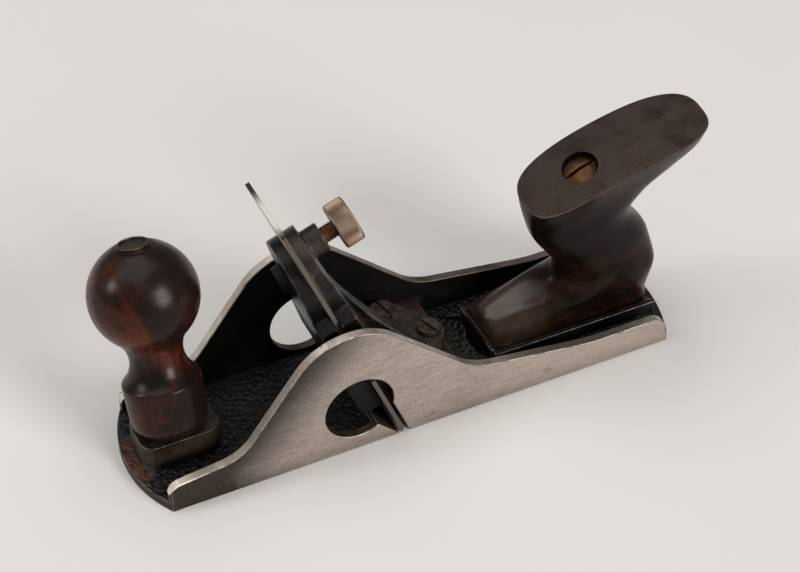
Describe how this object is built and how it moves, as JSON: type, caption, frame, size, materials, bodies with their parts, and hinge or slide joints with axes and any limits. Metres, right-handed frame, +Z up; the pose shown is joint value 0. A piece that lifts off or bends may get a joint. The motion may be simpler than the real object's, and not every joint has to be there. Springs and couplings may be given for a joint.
{
  "type": "cabinet scraper plane with rebate mouths",
  "caption": "Cast iron scraper plane with humped open cheeks, an upright clamped scraper blade reaching both sides, a ball-seated tilting front knob and a tilting rosewood rear handle.",
  "frame": {"origin": "on the sole, at mid-length of the cheeks and on the centre line", "axes": "+X along the sole from toe to heel, +Z up from the sole, +Y to the left of a user who pushes the plane toe first"},
  "size_m": [0.2152, 0.0559, 0.0945],
  "materials": {
    "body_iron": "black japan inside, bare machined sides and rims",
    "clamp_iron": "worn black japan with rust",
    "blade_steel": "ground",
    "screw_steel": "rusty brown",
    "thumb_nickel": "worn warm nickel plate",
    "knob_wood": "satin rosewood",
    "handle_wood": "satin rosewood, dull on top",
    "old_brass": "aged"
  },
  "bodies": {
    "base": {"body_casting": "body_iron", "blade_cap": "clamp_iron", "cap_screw": "screw_steel", "frog": "clamp_iron", "frog_screw_right": "screw_steel", "frog_screw_left": "screw_steel", "frog_screw_rear": "screw_steel"},
    "blade": {"scraper_blade": "blade_steel"},
    "thumb_shank": {"thumbscrew_shank": "screw_steel"},
    "thumb_head": {"thumbscrew_head": "thumb_nickel"},
    "knob": {"front_knob": "knob_wood", "knob_rod": "screw_steel", "knob_pivot_nut": "screw_steel", "knob_washer": "old_brass"},
    "knob_top_nut": {"knob_nut": "old_brass"},
    "handle": {"rear_handle": "handle_wood", "handle_rod": "screw_steel", "handle_pivot_nut": "screw_steel"},
    "handle_top_nut": {"handle_nut": "old_brass"}
  },
  "joints": [
    {"name": "blade_feed", "type": "slide", "parent": "base", "child": "blade", "axis": [0.3616, 0, -0.9323], "range_m": [0, 0.008]},
    {"name": "thumb_travel", "type": "slide", "parent": "base", "child": "thumb_shank", "axis": [0.9323, 0, 0.3616], "range_m": [0, 0.004]},
    {"name": "thumb_turn", "type": "hinge", "parent": "thumb_shank", "child": "thumb_head", "pos_m": [-0.03718, 0, 0.07188], "axis": [0.9323, 0, 0.3616], "range_deg": [0, 1440]},
    {"name": "knob_tilt", "type": "hinge", "parent": "base", "child": "knob", "pos_m": [-0.0852, 0, 0.0272], "axis": [1, 0, 0], "range_deg": [-2, 38]},
    {"name": "knob_nut_turn", "type": "hinge", "parent": "knob", "child": "knob_top_nut", "pos_m": [-0.0852, 0, 0.0272], "axis": [0, 0.309, 0.9511], "range_deg": [0, 180]},
    {"name": "handle_tilt", "type": "hinge", "parent": "base", "child": "handle", "pos_m": [0.0653, 0, 0.0248], "axis": [1, 0, 0], "range_deg": [-20, 4]},
    {"name": "handle_nut_turn", "type": "hinge", "parent": "handle", "child": "handle_top_nut", "pos_m": [0.0653, -0.00746, 0.07788], "axis": [-0.2756, -0.1338, 0.9519], "range_deg": [0, 180]}
  ],
  "couplings": [
    {"joint": "thumb_turn", "follows": "thumb_travel", "rad_per_m": 6283.2}
  ]
}
